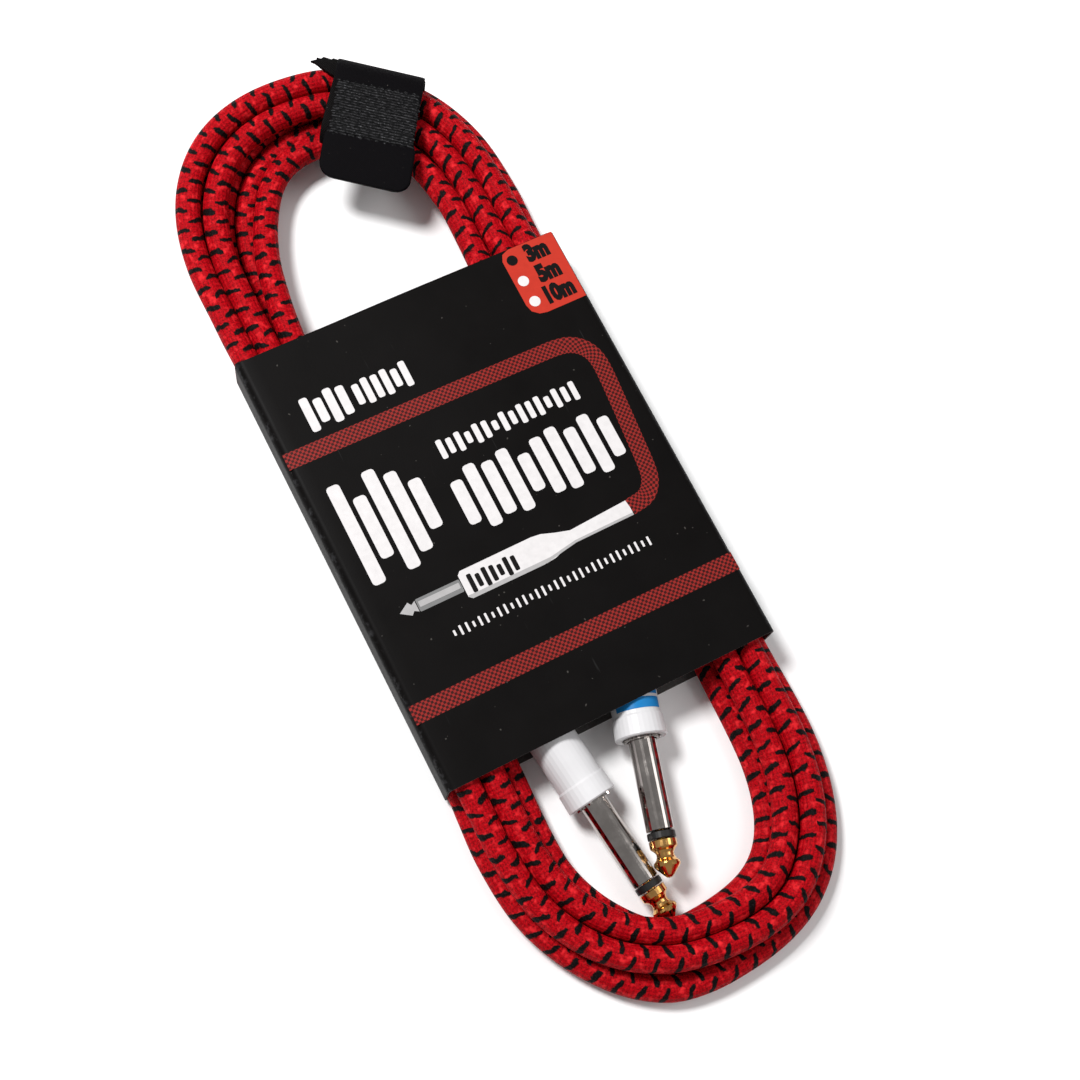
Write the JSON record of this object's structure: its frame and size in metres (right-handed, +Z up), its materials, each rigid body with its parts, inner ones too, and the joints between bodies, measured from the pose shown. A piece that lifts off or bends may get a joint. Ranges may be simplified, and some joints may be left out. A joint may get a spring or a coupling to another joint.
{
  "type": "instrument cable",
  "caption": "Braided instrument cable with straight mono jack plugs, wound in a hank inside a printed card sleeve and tied with a hook-and-loop strap.",
  "frame": {"origin": "centre of the underside, on the surface that the cable lies on", "axes": "+X across the card sleeve, +Y along the hank towards the strap, +Z up out of the card's printed face"},
  "size_m": [0.0836, 0.2405, 0.0154],
  "materials": {
    "braid": "tight red textile braid with black tracer dashes",
    "card": "black printed coated card",
    "card_board": "uncoated light grey card",
    "strap": "black loop-side strap fabric",
    "strap_hook": "black hook-side strap",
    "grip": "white moulded plastic, satin",
    "nickel": "polished nickel plate",
    "gold": "gold plate",
    "insulator": "black insulating plastic",
    "steel": "tinned steel",
    "copper": "copper",
    "core": "core insulation"
  },
  "bodies": {
    "cable": {"cable_hank": "braid", "cable_tail_a": "braid", "cable_tail_b": "braid", "card_glue_flap": "card_board", "card_sleeve": "card", "plug_a_barrel": "nickel", "plug_a_bush": "insulator", "plug_a_cable_end": "braid", "plug_a_core_wire": "core", "plug_a_grip": "grip", "plug_a_ground_lug": "steel", "plug_a_ground_ring": "steel", "plug_a_lock_washer": "nickel", "plug_a_rear_washer": "insulator", "plug_a_strain_relief": "grip", "plug_a_tip": "gold", "plug_a_tip_lug": "copper", "plug_a_tip_ring": "insulator", "plug_b_barrel": "nickel", "plug_b_bush": "insulator", "plug_b_cable_end": "braid", "plug_b_core_wire": "core", "plug_b_grip": "grip", "plug_b_ground_lug": "steel", "plug_b_ground_ring": "steel", "plug_b_lock_washer": "nickel", "plug_b_rear_washer": "insulator", "plug_b_strain_relief": "grip", "plug_b_tip": "gold", "plug_b_tip_lug": "copper", "plug_b_tip_ring": "insulator", "strap_cut_end": "strap_hook", "strap_loop": "strap"},
    "flap": {"strap_flap": "strap"}
  },
  "joints": [
    {"name": "flap_peel", "type": "hinge", "parent": "cable", "child": "flap", "pos_m": [0.02306, 0.1097, 0.01535], "axis": [-0.7848, 0.6198, 0], "range_deg": [0, 150]}
  ]
}
